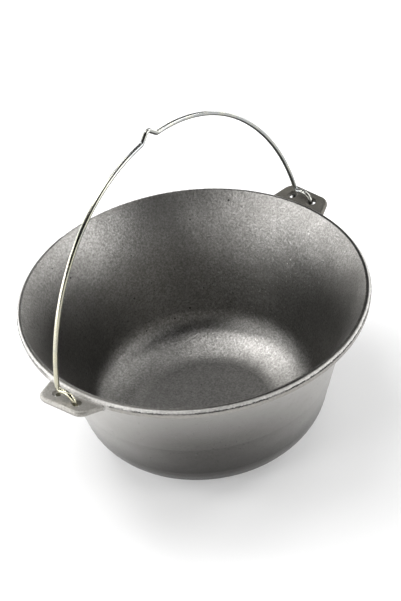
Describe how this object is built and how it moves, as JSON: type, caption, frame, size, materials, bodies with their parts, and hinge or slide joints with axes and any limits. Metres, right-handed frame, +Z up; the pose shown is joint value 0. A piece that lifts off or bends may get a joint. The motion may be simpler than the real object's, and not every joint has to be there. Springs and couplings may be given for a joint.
{
  "type": "cast iron cauldron",
  "caption": "Open round cast iron cauldron with a bell-mouthed rim, drilled flat side ears and a hooped wire bail that swings on them.",
  "frame": {"origin": "centre of the flat base, on the surface that the cauldron stands on", "axes": "+Z up along the bowl's axis, X along the hinge line from ear to ear, Y across it"},
  "size_m": [0.3404, 0.3, 0.295],
  "materials": {
    "cast_iron": "bare sand-cast iron, dark grey with a fine grain and a dull sheen",
    "galvanised_wire": "drawn steel wire with a dull zinc coat"
  },
  "bodies": {
    "pot": {"cauldron_body": "cast_iron"},
    "handle": {"bail": "galvanised_wire"}
  },
  "joints": [
    {"name": "bail_swing", "type": "hinge", "parent": "pot", "child": "handle", "pos_m": [0, 0, 0.13562], "axis": [1, 0, 0], "range_deg": [-36, 98]}
  ]
}
